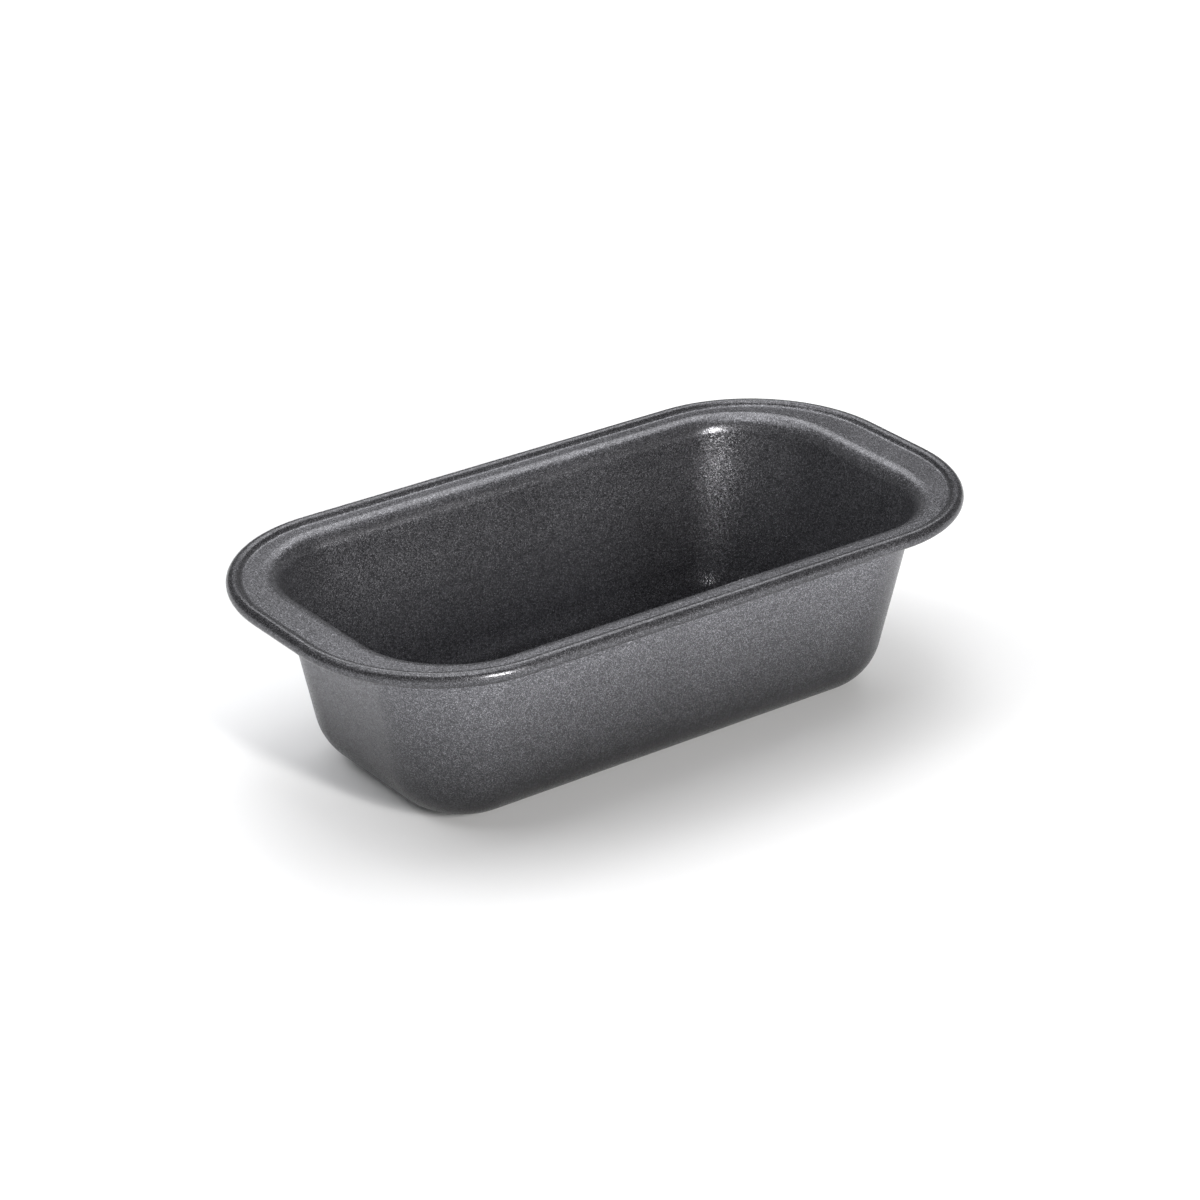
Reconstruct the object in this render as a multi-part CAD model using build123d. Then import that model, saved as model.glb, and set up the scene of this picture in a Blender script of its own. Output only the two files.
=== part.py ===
from build123d import *
import os
from math import acos, cos, radians, sin, sqrt, tan

os.makedirs("parts", exist_ok=True)

# Loaf pan drawn from one steel sheet, with its edge curled round a reinforcing wire.
# Origin: centre of the base's underside. +X along the length, +Z up. Millimetres.

# Sheet and walls
SHEET = 0.8                    # thickness of the steel sheet
OPENING_LENGTH = 254.0         # inside, where the end walls meet the flange's level
OPENING_WIDTH = 122.2          # inside, where the side walls meet the flange's level
OPENING_CORNER = 37.0          # inside corner radius at the flange's level
BASE_CORNER = 29.3             # inside corner radius where the walls would reach the ground
FLANGE_TOP = 80.4              # flange's top face above the ground
END_DRAFT = radians(11.9)      # lean of the two end walls
SIDE_DRAFT = radians(8.0)      # lean of the two long walls
BASE_BEND = 23.6               # outside radius between walls and base
MOUTH_BEND = 7.5               # upper radius between walls and flange

# Rim: the centre line of the curl is a rounded rectangle
RIM_LENGTH = 295.6
RIM_WIDTH = 149.2
RIM_CORNER = 58.5
CURL_RADIUS = 3.0              # outside radius of the curl
CURL_CENTRE = FLANGE_TOP - 1.1
CURL_END = radians(263.0)      # where the raw edge stops, turned outward from the top
RIM_STEP = 1.5                 # upper radius of the small step from flange to curl

# Wire
WIRE_RADIUS = 2.1
WIRE_GAP = 0.8                 # between the wire's two ends, in the middle of one long side

# The step leaves the curl where both arcs have the same slope.
STEP_ANGLE = acos((FLANGE_TOP - CURL_CENTRE + RIM_STEP) / (CURL_RADIUS + RIM_STEP))
STEP_REACH = (CURL_RADIUS + RIM_STEP) * sin(STEP_ANGLE)


def wall_outline(height, outward):
    """Plan outline of the walls at a height, moved outward from their inside face."""
    drop = FLANGE_TOP - height
    length = OPENING_LENGTH + 2 * (outward / cos(END_DRAFT) - drop * tan(END_DRAFT))
    width = OPENING_WIDTH + 2 * (outward / cos(SIDE_DRAFT) - drop * tan(SIDE_DRAFT))
    corner = BASE_CORNER + (OPENING_CORNER - BASE_CORNER) * height / FLANGE_TOP + outward
    return Plane.XY.offset(height) * RectangleRounded(length, width, corner)


def tub(bottom, top, outward, bend):
    """Solid tub between two heights, with its bottom edge rounded."""
    block = loft([wall_outline(bottom, outward), wall_outline(top, outward)], ruled=True)
    return fillet(block.faces().sort_by(Axis.Z)[0].edges(), bend)


def mouth_edges(body, height):
    """Edges round the opening in the flat face at a height."""
    flats = body.faces().filter_by(Plane.XY).filter_by_position(Axis.Z, height - 0.01, height + 0.01)
    return flats.sort_by(SortBy.AREA)[-1].inner_wires()[0].edges()


def pressed_tub_with_flange():
    """Walls, base and flange, with the same sheet thickness through both bends."""
    plate = extrude(
        RectangleRounded(
            RIM_LENGTH - 2 * STEP_REACH, RIM_WIDTH - 2 * STEP_REACH, RIM_CORNER - STEP_REACH
        ),
        SHEET,
    )
    underside = FLANGE_TOP - SHEET
    body = tub(0, FLANGE_TOP - SHEET / 2, SHEET, BASE_BEND) + Pos(0, 0, underside) * plate
    body = fillet(mouth_edges(body, underside), MOUTH_BEND - SHEET)
    body -= tub(SHEET, FLANGE_TOP + SHEET, 0, BASE_BEND - SHEET)
    return fillet(mouth_edges(body, FLANGE_TOP), MOUTH_BEND)


def curl_point(radius, turn):
    """Point of the rim's section, with turn measured outward from straight up."""
    return (radius * sin(turn), CURL_CENTRE + radius * cos(turn))


def curl_section():
    """Section of the step and curl: X is outward from the curl's centre, Y is height."""
    inner = CURL_RADIUS - SHEET
    middle = (CURL_END - STEP_ANGLE) / 2
    start_top = (-STEP_REACH, FLANGE_TOP)
    start_under = (-STEP_REACH, FLANGE_TOP - SHEET)
    step_centre_height = FLANGE_TOP + RIM_STEP
    half_turn = STEP_ANGLE / 2

    def step_point(radius):
        """Middle of the step's arc, for the upper or the lower face."""
        return (
            -STEP_REACH + radius * sin(half_turn),
            step_centre_height - radius * cos(half_turn),
        )

    outline = [
        ThreePointArc(start_top, step_point(RIM_STEP), curl_point(CURL_RADIUS, -STEP_ANGLE)),
        ThreePointArc(
            curl_point(CURL_RADIUS, -STEP_ANGLE),
            curl_point(CURL_RADIUS, middle),
            curl_point(CURL_RADIUS, CURL_END),
        ),
        Line(curl_point(CURL_RADIUS, CURL_END), curl_point(inner, CURL_END)),
        ThreePointArc(
            curl_point(inner, CURL_END), curl_point(inner, middle), curl_point(inner, -STEP_ANGLE)
        ),
        ThreePointArc(curl_point(inner, -STEP_ANGLE), step_point(RIM_STEP + SHEET), start_under),
        Line(start_under, start_top),
    ]
    return make_face(outline)


def wire_section():
    return Pos(0, CURL_CENTRE) * Circle(WIRE_RADIUS)


def rim_sides():
    """Outward direction, distance from the centre and straight run of each side in turn."""
    long_run = RIM_LENGTH - 2 * RIM_CORNER
    short_run = RIM_WIDTH - 2 * RIM_CORNER
    for quarter in range(4):
        outward = Vector(1, 0, 0).rotate(Axis.Z, 90 * quarter)
        if quarter % 2 == 0:
            yield outward, RIM_LENGTH / 2, short_run
        else:
            yield outward, RIM_WIDTH / 2, long_run


def round_the_rim(section):
    """Carry a section round the rim: four straight sides and four corner bends."""
    pieces = []
    for outward, distance, run in rim_sides():
        along = outward.rotate(Axis.Z, 90)
        end = outward * distance + along * (run / 2)
        face = Plane(origin=end, x_dir=outward, z_dir=-along) * section
        corner_centre = end - outward * RIM_CORNER
        pieces.append(extrude(face, run))
        pieces.append(revolve(face, Axis(corner_centre, (0, 0, 1)), 90))
    return pieces[0].fuse(*pieces[1:]).clean()


def pan_body():
    return pressed_tub_with_flange().fuse(round_the_rim(curl_section())).clean()


def rim_wire():
    """Reinforcing wire, a ring with its two ends facing each other across a narrow gap."""
    ring = round_the_rim(wire_section())
    cut = Box(WIRE_GAP, 4 * WIRE_RADIUS, 4 * WIRE_RADIUS)
    return ring - Pos(0, RIM_WIDTH / 2, CURL_CENTRE) * cut


parts = {
    "pan_body": pan_body(),
    "rim_wire": rim_wire(),
}

for name, shape in parts.items():
    export_step(shape, f"parts/{name}.step")
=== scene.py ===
from math import acos, cos, pi, radians, sin, tan

import bpy
import numpy as np
from mathutils import Matrix, Vector


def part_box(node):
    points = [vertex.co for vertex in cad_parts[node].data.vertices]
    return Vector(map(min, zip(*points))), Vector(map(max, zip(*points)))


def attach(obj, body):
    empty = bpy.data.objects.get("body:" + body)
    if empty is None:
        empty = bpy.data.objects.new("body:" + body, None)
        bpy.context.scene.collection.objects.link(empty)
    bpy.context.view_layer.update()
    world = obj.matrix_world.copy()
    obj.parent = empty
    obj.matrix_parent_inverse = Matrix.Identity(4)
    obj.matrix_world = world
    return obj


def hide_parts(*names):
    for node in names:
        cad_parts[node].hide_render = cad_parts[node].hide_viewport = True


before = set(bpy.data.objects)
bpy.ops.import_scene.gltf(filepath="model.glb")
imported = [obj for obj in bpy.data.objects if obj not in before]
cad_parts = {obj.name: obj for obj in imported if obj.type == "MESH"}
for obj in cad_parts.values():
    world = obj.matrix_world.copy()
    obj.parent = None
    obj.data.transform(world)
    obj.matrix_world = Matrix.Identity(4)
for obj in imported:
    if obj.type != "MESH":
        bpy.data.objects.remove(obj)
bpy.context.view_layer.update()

# Loaf pan: one drawn steel sheet with a dark nonstick coating, its edge curled round a wire.
# Metres throughout. +X along the pan, +Z up, origin in the middle of the base's underside.

MM = 0.001

# ---------------------------------------------------------------- sheet metal sizes
SHEET = 0.8 * MM
WALL_LENGTH = 254.0 * MM         # inside length and width where the walls meet the flange's level
WALL_WIDTH = 122.2 * MM
WALL_CORNER_TOP = 37.0 * MM      # inside corner radius there, and where the walls would reach the ground
WALL_CORNER_BASE = 29.3 * MM
END_DRAFT = radians(11.9)
SIDE_DRAFT = radians(8.0)
BASE_BEND = 23.6 * MM            # outside radius from wall to base
MOUTH_BEND = 7.5 * MM            # upper radius from wall to flange
RIM_CORNER = 58.5 * MM           # corner radius of the curl's centre line
CURL_RADIUS = 3.0 * MM
CURL_RISE = 1.9 * MM             # curl's top above the flange's top face
CURL_END = radians(263.0)        # where the raw edge stops, turned outward from the top
STEP_RADIUS = 1.5 * MM           # upper radius of the step from flange to curl

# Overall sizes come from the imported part.
pan_low, pan_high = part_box("pan_body")
RIM_LENGTH = pan_high.x - pan_low.x - 2 * CURL_RADIUS
RIM_WIDTH = pan_high.y - pan_low.y - 2 * CURL_RADIUS
CURL_CENTRE = pan_high.z - CURL_RADIUS
FLANGE_TOP = pan_high.z - CURL_RISE
STEP_ANGLE = acos((FLANGE_TOP - CURL_CENTRE + STEP_RADIUS) / (CURL_RADIUS + STEP_RADIUS))
STEP_REACH = (CURL_RADIUS + STEP_RADIUS) * sin(STEP_ANGLE)

# ---------------------------------------------------------------- mesh fineness
CORNER_STEPS = 28                # quads round each corner
LONG_STEPS = 40                  # quads along each long side
SHORT_STEPS = 12                 # quads along each short side
BASE_BEND_STEPS = 18             # the rest are quads along the section
MOUTH_BEND_STEPS = 12
PANEL_STEPS = 7                  # from a flat panel's edge to its middle
WALL_STEPS = 8
FLANGE_STEPS = 6
RIM_STEP_STEPS = 6
CURL_STEPS = 40
CURL_INSIDE_STEPS = 32
RAW_EDGE_STEPS = 6


# ================================================================ stations round the pan
def stations():
    """Outward direction and corner-centre signs at each station, going round from +X."""
    corner_signs = [(1, 1), (-1, 1), (-1, -1), (1, -1), (1, 1)]
    outward, signs = [], []
    for quarter in range(4):
        here = np.array(corner_signs[quarter], float)
        following = np.array(corner_signs[quarter + 1], float)
        for step in range(CORNER_STEPS + 1):
            angle = (quarter + step / CORNER_STEPS) * pi / 2
            outward.append((cos(angle), sin(angle)))
            signs.append(here)
        run = LONG_STEPS if quarter % 2 == 0 else SHORT_STEPS
        for step in range(1, run):
            outward.append(outward[-1])
            signs.append(here + (following - here) * step / run)
    return np.array(outward), np.array(signs)


OUTWARD, SIGNS = stations()


def rounded_rectangle(length, width, corner):
    """Plan points of a rounded rectangle, one for each station."""
    centres = SIGNS * (length / 2 - corner, width / 2 - corner)
    return centres + OUTWARD * corner


CURL_LINE = rounded_rectangle(RIM_LENGTH, RIM_WIDTH, RIM_CORNER)


# ================================================================ surfaces as rings
class Ring:
    """One loop of points round the pan, with the surface's normal at each."""

    def __init__(self, points, normals):
        self.points = points
        self.normals = normals
        self.outer = 0.0         # 1 on the outside of the walls and base, which get painted shade and light
        self.rolled = 0.0        # 1 on the outside of the rolled edge, which gets painted shade


def arc(centre_plan, centre_height, radius, start, end, steps, hollow=False):
    """Rings along an arc in the upright plane of each station. A hollow one faces its centre."""
    rings = []
    for step in range(steps + 1):
        turn = np.broadcast_to(start + (end - start) * step / steps, len(OUTWARD))
        plan = centre_plan + OUTWARD * (radius * np.cos(turn))[:, None]
        height = centre_height + radius * np.sin(turn)
        normals = np.column_stack([OUTWARD * np.cos(turn)[:, None], np.sin(turn)])
        rings.append(Ring(np.column_stack([plan, height]), -normals if hollow else normals))
    return rings


def bridge(first, last, steps):
    """Rings between two rings on a straight stretch of the section."""
    rings = []
    for step in range(1, steps):
        share = step / steps
        rings.append(Ring(first.points + (last.points - first.points) * share, first.normals))
    return rings


def closing_rings(edge):
    """Rings from a flat panel's edge towards its middle."""
    rings = []
    for step in range(1, PANEL_STEPS):
        shrink = 1 - step / PANEL_STEPS
        rings.append(Ring(edge.points * (shrink, shrink, 1), edge.normals))
    return rings


# ================================================================ the walls
WALL_TOP = rounded_rectangle(WALL_LENGTH, WALL_WIDTH, WALL_CORNER_TOP)
WALL_FOOT = rounded_rectangle(
    WALL_LENGTH - 2 * FLANGE_TOP * tan(END_DRAFT),
    WALL_WIDTH - 2 * FLANGE_TOP * tan(SIDE_DRAFT),
    WALL_CORNER_BASE,
)
WALL_RUN = ((WALL_TOP - WALL_FOOT) * OUTWARD).sum(axis=1)
LEAN = np.arctan2(WALL_RUN, FLANGE_TOP)      # the wall's lean at each station


def wall_point(height, outward):
    """Plan and height of a point off the wall's inside face, outward along its normal."""
    plan = WALL_FOOT + (WALL_TOP - WALL_FOOT) * (height / FLANGE_TOP)[:, None]
    plan = plan + OUTWARD * (outward * np.cos(LEAN))[:, None]
    return plan, height - outward * np.sin(LEAN)


def base_bend_centre():
    inside = BASE_BEND - SHEET
    return wall_point(SHEET + inside * (1 - np.sin(LEAN)), -inside)


def mouth_bend_centre():
    return wall_point(FLANGE_TOP - MOUTH_BEND * (1 - np.sin(LEAN)), MOUTH_BEND)


# ================================================================ the pan's whole surface
def inside_surface():
    """From the middle of the inner base up the wall, over the mouth and out along the flange."""
    base = arc(*base_bend_centre(), BASE_BEND - SHEET, -pi / 2, -LEAN, BASE_BEND_STEPS, hollow=True)
    mouth = arc(*mouth_bend_centre(), MOUTH_BEND, pi - LEAN, pi / 2, MOUTH_BEND_STEPS)
    middle = closing_rings(base[0])[::-1]
    return middle + base + bridge(base[-1], mouth[0], WALL_STEPS) + mouth


def outside_surface():
    """From the flange's underside down the outer wall to the middle of the base's underside."""
    bend = MOUTH_BEND - SHEET
    mouth = arc(*mouth_bend_centre(), bend, pi / 2, pi - LEAN, MOUTH_BEND_STEPS, hollow=True)
    base = arc(*base_bend_centre(), BASE_BEND, -LEAN, -pi / 2, BASE_BEND_STEPS)
    rings = mouth + bridge(mouth[-1], base[0], WALL_STEPS) + base + closing_rings(base[-1])
    for ring in rings:
        ring.outer = 1.0
    return rings


def rim_step(radius, start, end, hollow):
    """The small step from the flange up to the curl, on its upper or its lower face."""
    plan = CURL_LINE - OUTWARD * STEP_REACH
    return arc(plan, FLANGE_TOP + STEP_RADIUS, radius, start, end, RIM_STEP_STEPS, hollow)


def raw_edge(turn):
    """Rounded cut edge of the sheet where the curl ends."""
    radius = CURL_RADIUS - SHEET / 2
    plan = CURL_LINE + OUTWARD * radius * cos(turn)
    height = CURL_CENTRE + radius * sin(turn)
    return arc(plan, height, SHEET / 2, turn, turn - pi, RAW_EDGE_STEPS)


def rim_surface():
    """The step, the curl, its raw edge, and back inside the curl to the step's underside."""
    start = pi / 2 + STEP_ANGLE
    end = pi / 2 - CURL_END
    foot, head = -pi / 2, STEP_ANGLE - pi / 2
    inner_radius = CURL_RADIUS - SHEET
    roll = arc(CURL_LINE, CURL_CENTRE, CURL_RADIUS, start, end, CURL_STEPS)
    for ring in roll:
        ring.rolled = 1.0
    lining = arc(CURL_LINE, CURL_CENTRE, inner_radius, end, start, CURL_INSIDE_STEPS, hollow=True)
    # Where two arcs meet, both have a ring, and only the first one's is kept.
    return (
        rim_step(STEP_RADIUS, foot, head, hollow=True)
        + roll[1:]
        + raw_edge(end)[1:]
        + lining[1:]
        + rim_step(STEP_RADIUS + SHEET, head, foot, hollow=False)[1:]
    )


def pan_rings():
    inside = inside_surface()
    rim = rim_surface()
    outside = outside_surface()
    top = bridge(inside[-1], rim[0], FLANGE_STEPS)
    underneath = bridge(rim[-1], outside[0], FLANGE_STEPS)
    return inside + top + rim + underneath + outside


# ================================================================ mesh making
def quads_between(rings, count):
    """Faces between rings that lie one after another, each with the same count of points."""
    faces = []
    for ring in range(rings - 1):
        for place in range(count):
            beside = (place + 1) % count
            low = ring * count
            high = low + count
            faces.append((low + place, high + place, high + beside, low + beside))
    return faces


def fan(centre, first, count, upward):
    """Triangles from a middle point to a ring that starts at a point's number."""
    faces = []
    for place in range(count):
        pair = (first + place, first + (place + 1) % count)
        faces.append((centre, *pair) if upward else (centre, *reversed(pair)))
    return faces


def new_mesh(name, points, faces, normals):
    mesh = bpy.data.meshes.new(name)
    mesh.from_pydata([tuple(p) for p in points], [], faces)
    mesh.shade_smooth()
    mesh.normals_split_custom_set_from_vertices([tuple(n) for n in normals])
    piece = bpy.data.objects.new(name, mesh)
    bpy.context.scene.collection.objects.link(piece)
    return piece


def store(piece, name, values):
    """Keep one number at each of the piece's points under a name, for the material to read."""
    attribute = piece.data.attributes.new(name, "FLOAT", "POINT")
    attribute.data.foreach_set("value", values)


def make_pan():
    """The pan as one closed mesh: its last two points are the middles of the base's two faces."""
    rings = pan_rings()
    count = len(OUTWARD)
    points = np.vstack([ring.points for ring in rings] + [(0, 0, SHEET), (0, 0, 0)])
    normals = np.vstack([ring.normals for ring in rings] + [(0, 0, 1), (0, 0, -1)])
    inner_middle = len(rings) * count
    last_ring = (len(rings) - 1) * count
    faces = quads_between(len(rings), count)
    faces += fan(inner_middle, 0, count, upward=True)
    faces += fan(inner_middle + 1, last_ring, count, upward=False)
    pan = new_mesh("coated_pan", points, faces, normals)
    store(pan, "outer", [ring.outer for ring in rings for _ in range(count)] + [0.0, 1.0])
    store(pan, "rolled", [ring.rolled for ring in rings for _ in range(count)] + [0.0, 0.0])
    return pan


# ================================================================ node helpers
def new_material(name):
    material = bpy.data.materials.new(name)
    material.use_nodes = True
    return material, material.node_tree, material.node_tree.nodes["Principled BSDF"]


def node(tree, kind, **settings):
    made = tree.nodes.new(kind)
    for name, value in settings.items():
        setattr(made, name, value)
    return made


def object_place(tree):
    return node(tree, "ShaderNodeTexCoord").outputs["Object"]


def stored(tree, name):
    """Number kept at each of the mesh's points under a name."""
    return node(tree, "ShaderNodeAttribute", attribute_name=name).outputs["Fac"]


def split(tree, kind, value):
    """The three numbers inside a vector or a colour."""
    made = node(tree, kind)
    tree.links.new(value, made.inputs[0])
    return made.outputs


def noise(tree, place, size, detail, roughness=0.5):
    """Noise whose features are about this size in metres."""
    made = node(tree, "ShaderNodeTexNoise")
    made.inputs["Scale"].default_value = 1 / size
    made.inputs["Detail"].default_value = detail
    made.inputs["Roughness"].default_value = roughness
    tree.links.new(place, made.inputs["Vector"])
    return made.outputs["Fac"]


def cells(tree, place, size):
    """Random colour for each cell of about this size in metres."""
    made = node(tree, "ShaderNodeTexVoronoi", feature="F1")
    made.inputs["Scale"].default_value = 1 / size
    tree.links.new(place, made.inputs["Vector"])
    return made.outputs["Color"]


def remap(tree, value, low, high, new_low, new_high):
    made = node(tree, "ShaderNodeMapRange")
    ends = {"From Min": low, "From Max": high, "To Min": new_low, "To Max": new_high}
    for name, number in ends.items():
        made.inputs[name].default_value = number
    tree.links.new(value, made.inputs["Value"])
    return made.outputs["Result"]


def spread(tree, value, low, high):
    """Stretch a noise, which mostly lies between 0.3 and 0.7, over a range."""
    return remap(tree, value, 0.3, 0.7, low, high)


def maths(tree, operation, first, second):
    made = node(tree, "ShaderNodeMath", operation=operation)
    for slot, value in enumerate((first, second)):
        if isinstance(value, (int, float)):
            made.inputs[slot].default_value = value
        else:
            tree.links.new(value, made.inputs[slot])
    return made.outputs["Value"]


def vector_maths(tree, operation, first, second=None):
    made = node(tree, "ShaderNodeVectorMath", operation=operation)
    for slot, value in enumerate((first, second)):
        if isinstance(value, tuple):
            made.inputs[slot].default_value = value
        elif value is not None:
            tree.links.new(value, made.inputs[slot])
    return made.outputs["Vector"]


def vector_scale(tree, vector, scale):
    made = node(tree, "ShaderNodeVectorMath", operation="SCALE")
    tree.links.new(vector, made.inputs["Vector"])
    tree.links.new(scale, made.inputs["Scale"])
    return made.outputs["Vector"]


def ramp(tree, value, stops):
    made = node(tree, "ShaderNodeValToRGB")
    elements = made.color_ramp.elements
    while len(elements) < len(stops):
        elements.new(0.5)
    for element, (position, colour) in zip(elements, stops):
        element.position = position
        element.color = (*colour, 1)
    tree.links.new(value, made.inputs["Fac"])
    return made.outputs["Color"]


def bump(tree, height, depth, strength):
    made = node(tree, "ShaderNodeBump")
    made.inputs["Distance"].default_value = depth
    made.inputs["Strength"].default_value = strength
    tree.links.new(height, made.inputs["Height"])
    return made.outputs["Normal"]


# ================================================================ materials
FLAKE_SIZE = 0.28 * MM
DARK_FLAKE = (0.068, 0.068, 0.075)
BRIGHT_FLAKE = (0.330, 0.330, 0.355)
BRIGHT_FLAKE_RARITY = 3.0        # power that makes the bright flakes few
FLAT_FLAKES = 0.45               # share of flakes that lie flat
SCATTERED_FLAKES = 0.40          # share that scatter most
FLAT_ROUGHNESS = 0.25
SCATTERED_ROUGHNESS = 0.44
FLAKE_TILT = 0.19                # how much a flake's own slope turns the normal
ROLLED_FLAKE_TILT = 0.06
DRIFT_SIZE = 45 * MM
TONE_DRIFT = 0.06                # either way from the average
ROUGHNESS_DRIFT = 0.02
PEEL_SIZE = 1.4 * MM
PEEL_DEPTH = 0.012 * MM
PAINTED_REFLECTION_START = 8 * MM              # height where the painted shade on the outside starts to lighten
FOOT_PAINTED_SHADE = -0.78                # painted shade added to the tone there, and below
TOP_PAINTED_LIGHT = 0.44                  # painted light added at the flange's level
ROLLED_PAINTED_SHADE = 0.30               # painted shade taken off the tone on the rolled edge


def drifting_tone_and_painted_shade(tree, place, drift, rolled):
    """Share of light that comes back: a random drift, with painted shade low on the outside and on the
    rolled edge, and painted light high on the outside.
    """
    height = split(tree, "ShaderNodeSeparateXYZ", place)["Z"]
    # Painted reflection on the outside: darker towards the base, lighter towards the flange.
    painted_reflection_by_height = remap(tree, height, PAINTED_REFLECTION_START, FLANGE_TOP, FOOT_PAINTED_SHADE, TOP_PAINTED_LIGHT)
    outside = maths(tree, "MULTIPLY", painted_reflection_by_height, stored(tree, "outer"))
    tone_and_painted_shade = maths(tree, "ADD", outside, spread(tree, drift, 1 - TONE_DRIFT, 1 + TONE_DRIFT))
    # Painted shade darkens the rolled edge.
    return maths(tree, "SUBTRACT", tone_and_painted_shade, maths(tree, "MULTIPLY", rolled, ROLLED_PAINTED_SHADE))


def flake_colour(tree, brightness):
    bright = maths(tree, "POWER", brightness, BRIGHT_FLAKE_RARITY)
    return ramp(tree, bright, [(0.0, DARK_FLAKE), (1.0, BRIGHT_FLAKE)])


def flake_slopes(tree, flake, rolled):
    """Each flake's own slope, added to the surface's normal. It is least on the rolled edge."""
    slope = vector_maths(tree, "SUBTRACT", flake, (0.5, 0.5, 0.5))
    return vector_scale(tree, slope, remap(tree, rolled, 0.0, 1.0, FLAKE_TILT, ROLLED_FLAKE_TILT))


def coating():
    """Charcoal nonstick coating full of tiny metal flakes: some lie flat, the rest scatter light."""
    material, tree, shader = new_material("flecked_nonstick")
    place = object_place(tree)
    rolled = stored(tree, "rolled")

    # One random colour for each flake: red is how it lies and blue is how bright it is.
    flake = cells(tree, place, FLAKE_SIZE)
    parts = split(tree, "ShaderNodeSeparateColor", flake)

    # The film's thickness drifts over a few centimetres. Painted shade and painted light are added to
    # its tone as well.
    drift = noise(tree, place, DRIFT_SIZE, detail=2)
    tone_and_painted_shade = drifting_tone_and_painted_shade(tree, place, drift, rolled)
    colour = vector_scale(tree, flake_colour(tree, parts["Blue"]), tone_and_painted_shade)
    tree.links.new(colour, shader.inputs["Base Color"])
    shader.inputs["Metallic"].default_value = 0.72
    shader.inputs["Specular Tint"].default_value = (0.65, 0.65, 0.65, 1)

    ends = FLAT_ROUGHNESS, SCATTERED_ROUGHNESS
    scatter = remap(tree, parts["Red"], FLAT_FLAKES, 1 - SCATTERED_FLAKES, *ends)
    rough = maths(tree, "ADD", scatter, spread(tree, drift, -ROUGHNESS_DRIFT, ROUGHNESS_DRIFT))
    tree.links.new(rough, shader.inputs["Roughness"])
    shader.inputs["Coat Weight"].default_value = 0.30
    shader.inputs["Coat Roughness"].default_value = 0.20

    # Orange peel in the dried film, then the flakes' slopes on top.
    peel = bump(tree, noise(tree, place, PEEL_SIZE, detail=2), PEEL_DEPTH, 0.5)
    uneven = vector_maths(tree, "ADD", peel, flake_slopes(tree, flake, rolled))
    tree.links.new(vector_maths(tree, "NORMALIZE", uneven), shader.inputs["Normal"])
    tree.links.new(peel, shader.inputs["Coat Normal"])
    return material


def drawn_wire():
    """Dull zinc on drawn steel wire: cloudy patches and a fine grain."""
    material, tree, shader = new_material("zinc_wire")
    place = object_place(tree)
    clouds = noise(tree, place, 4 * MM, detail=4)
    grain = noise(tree, place, 0.3 * MM, detail=2, roughness=0.7)
    patches = maths(tree, "MULTIPLY", clouds, 0.7)
    shade = maths(tree, "ADD", patches, maths(tree, "MULTIPLY", grain, 0.3))
    colour = ramp(tree, shade, [(0.3, (0.36, 0.37, 0.38)), (0.7, (0.66, 0.67, 0.68))])
    tree.links.new(colour, shader.inputs["Base Color"])
    shader.inputs["Metallic"].default_value = 1.0
    tree.links.new(spread(tree, clouds, 0.34, 0.55), shader.inputs["Roughness"])
    tree.links.new(bump(tree, grain, 0.03 * MM, 0.6), shader.inputs["Normal"])
    return material


PAPER_GLOW_START = 0.5           # distance from the pan's middle where the paper starts to glow
PAPER_GLOW_FULL = 1.8


def studio_floor():
    """Matt white paper that glows far from the pan, so that it fades into the white backdrop."""
    material, tree, shader = new_material("studio_floor")
    place = object_place(tree)
    mottling = noise(tree, place, 0.5, detail=2)
    colour = ramp(tree, mottling, [(0.3, (0.895, 0.90, 0.91)), (0.7, (0.91, 0.915, 0.925))])
    tree.links.new(colour, shader.inputs["Base Color"])
    shader.inputs["Roughness"].default_value = 0.9
    shader.inputs["Specular IOR Level"].default_value = 0.2
    distance = node(tree, "ShaderNodeVectorMath", operation="LENGTH")
    tree.links.new(place, distance.inputs["Vector"])
    glow = remap(tree, distance.outputs["Value"], PAPER_GLOW_START, PAPER_GLOW_FULL, 0.0, 1.0)
    shader.inputs["Emission Color"].default_value = (1, 1, 1, 1)
    tree.links.new(glow, shader.inputs["Emission Strength"])
    return material


# ================================================================ the studio
FLOOR_REACH = 6.0                # from the pan to each edge of the floor
LIGHT_DISTANCE = 1.6
HORIZON = (0.20, 0.20, 0.20)
CEILING = (0.03, 0.03, 0.03)
HORIZON_TOP = 0.20               # sine of the elevation where the walls start to darken
CEILING_START = 0.40
BACKDROP_STRENGTH = 1.1


def make_floor():
    reach = FLOOR_REACH
    corners = [(-reach, -reach, 0), (reach, -reach, 0), (reach, reach, 0), (-reach, reach, 0)]
    mesh = bpy.data.meshes.new("floor")
    mesh.from_pydata(corners, [], [(0, 1, 2, 3)])
    floor = bpy.data.objects.new("floor", mesh)
    floor.data.materials.append(studio_floor())
    bpy.context.scene.collection.objects.link(floor)


def from_above(azimuth, elevation):
    """Unit vector towards a place round the pan: azimuth 0 is in front (-Y) and 90 is at +X."""
    a, e = radians(azimuth), radians(elevation)
    return Vector((sin(a) * cos(e), -cos(a) * cos(e), sin(e)))


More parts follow.
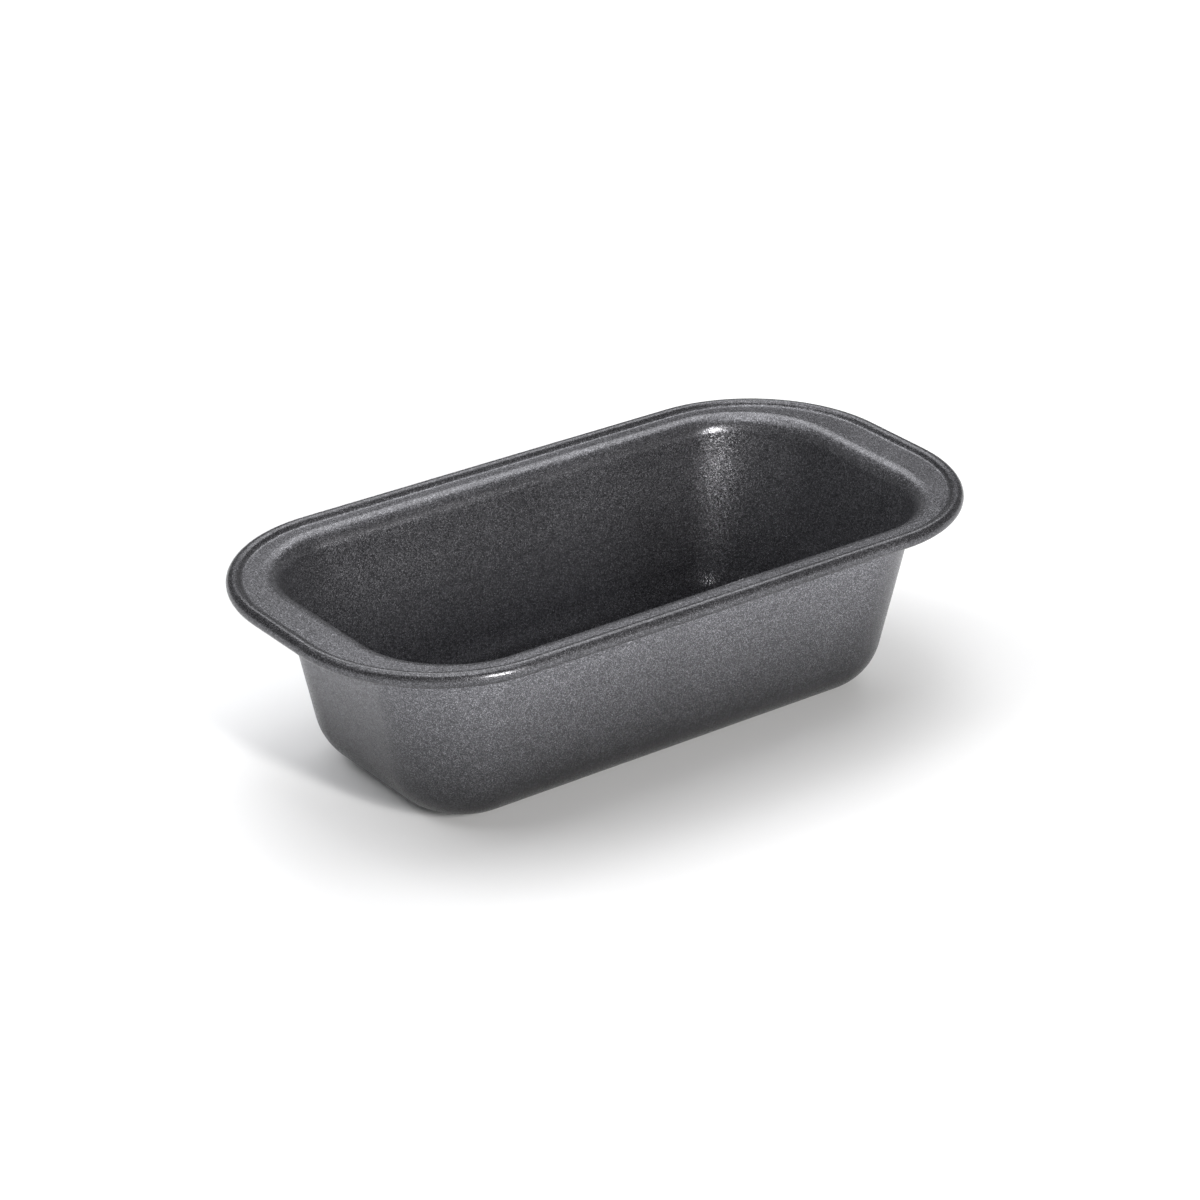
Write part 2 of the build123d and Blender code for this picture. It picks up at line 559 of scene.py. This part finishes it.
def softbox(name, azimuth, elevation, size, radiance, distance=LIGHT_DISTANCE, colour=(1, 1, 1)):
    """Rectangular light aimed at the pan. Radiance 1 is the brightness of a white surface."""
    width, height = size
    light = bpy.data.lights.new(name, "AREA")
    light.shape = "RECTANGLE"
    light.size = width
    light.size_y = height
    light.energy = radiance * pi * width * height
    light.color = colour
    lamp = bpy.data.objects.new(name, light)
    direction = from_above(azimuth, elevation)
    lamp.location = direction * distance + Vector((0, 0, FLANGE_TOP))
    lamp.rotation_euler = direction.to_track_quat("Z", "Y").to_euler()
    lamp.visible_camera = False
    bpy.context.scene.collection.objects.link(lamp)
    return lamp


def floor_fill(name, azimuth, elevation, size, radiance):
    """Softbox that lightens a shadow on the floor but shows in no reflection."""
    lamp = softbox(name, azimuth, elevation, size, radiance)
    lamp.visible_glossy = False


def make_world():
    """Dim studio walls, brighter round the horizon, with a white backdrop that only the camera sees."""
    world = bpy.data.worlds.new("studio")
    world.use_nodes = True
    bpy.context.scene.world = world
    tree = world.node_tree
    direction = node(tree, "ShaderNodeTexCoord").outputs["Generated"]
    height = split(tree, "ShaderNodeSeparateXYZ", direction)["Z"]
    walls = ramp(tree, height, [(0.0, HORIZON), (HORIZON_TOP, HORIZON), (CEILING_START, CEILING)])
    backdrop = node(tree, "ShaderNodeBackground")
    backdrop.inputs["Color"].default_value = (1, 1, 1, 1)
    backdrop.inputs["Strength"].default_value = BACKDROP_STRENGTH
    seen = node(tree, "ShaderNodeMixShader")
    tree.links.new(walls, tree.nodes["Background"].inputs["Color"])
    tree.links.new(node(tree, "ShaderNodeLightPath").outputs["Is Camera Ray"], seen.inputs["Fac"])
    tree.links.new(tree.nodes["Background"].outputs["Background"], seen.inputs[1])
    tree.links.new(backdrop.outputs["Background"], seen.inputs[2])
    tree.links.new(seen.outputs["Shader"], tree.nodes["World Output"].inputs["Surface"])


def light_studio():
    softbox("rear_softbox", 143, 50, (1.3, 1.0), 2.65)
    softbox("left_softbox", -127, 62, (1.2, 0.42), 1.5)
    softbox("overhead_softbox", 0, 90, (1.0, 1.0), 3.0)
    softbox("key_softbox", 2, 20, (0.16, 0.54), 76.0, distance=1.5, colour=(1.0, 0.985, 0.96))
    softbox("front_softbox", -37, 18, (2.0, 0.33), 0.4)
    floor_fill("left_floor_fill", -127, 45, (1.4, 0.8), 3.8)
    floor_fill("right_floor_fill", 105, 45, (1.2, 0.8), 1.2)


# ================================================================ the camera
CAMERA_AZIMUTH = -37.11
CAMERA_ELEVATION = 26.16
CAMERA_ROLL = 0.39
CAMERA_DISTANCE = 1.5838
CAMERA_TARGET = Vector((0.02444, 0.03445, 0.02957))
CAMERA_LENS = 118.17


def make_camera():
    data = bpy.data.cameras.new("camera")
    data.lens = CAMERA_LENS
    data.sensor_width = 36
    data.clip_start = 0.05
    data.clip_end = 50
    camera = bpy.data.objects.new("camera", data)
    back = from_above(CAMERA_AZIMUTH, CAMERA_ELEVATION)
    camera.location = CAMERA_TARGET + back * CAMERA_DISTANCE
    level = (-back).to_track_quat("-Z", "Y").to_matrix()
    rolled = level @ Matrix.Rotation(radians(CAMERA_ROLL), 3, "Z")
    camera.rotation_euler = rolled.to_euler()
    bpy.context.scene.collection.objects.link(camera)
    bpy.context.scene.camera = camera


# ================================================================ assembly
def dress(piece, material):
    piece.data.materials.clear()
    piece.data.materials.append(material)


pan = make_pan()
dress(pan, coating())
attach(pan, "root")
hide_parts("pan_body")
dress(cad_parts["rim_wire"], drawn_wire())

make_floor()
make_world()
light_studio()
make_camera()
bpy.context.scene.view_settings.view_transform = "Standard"
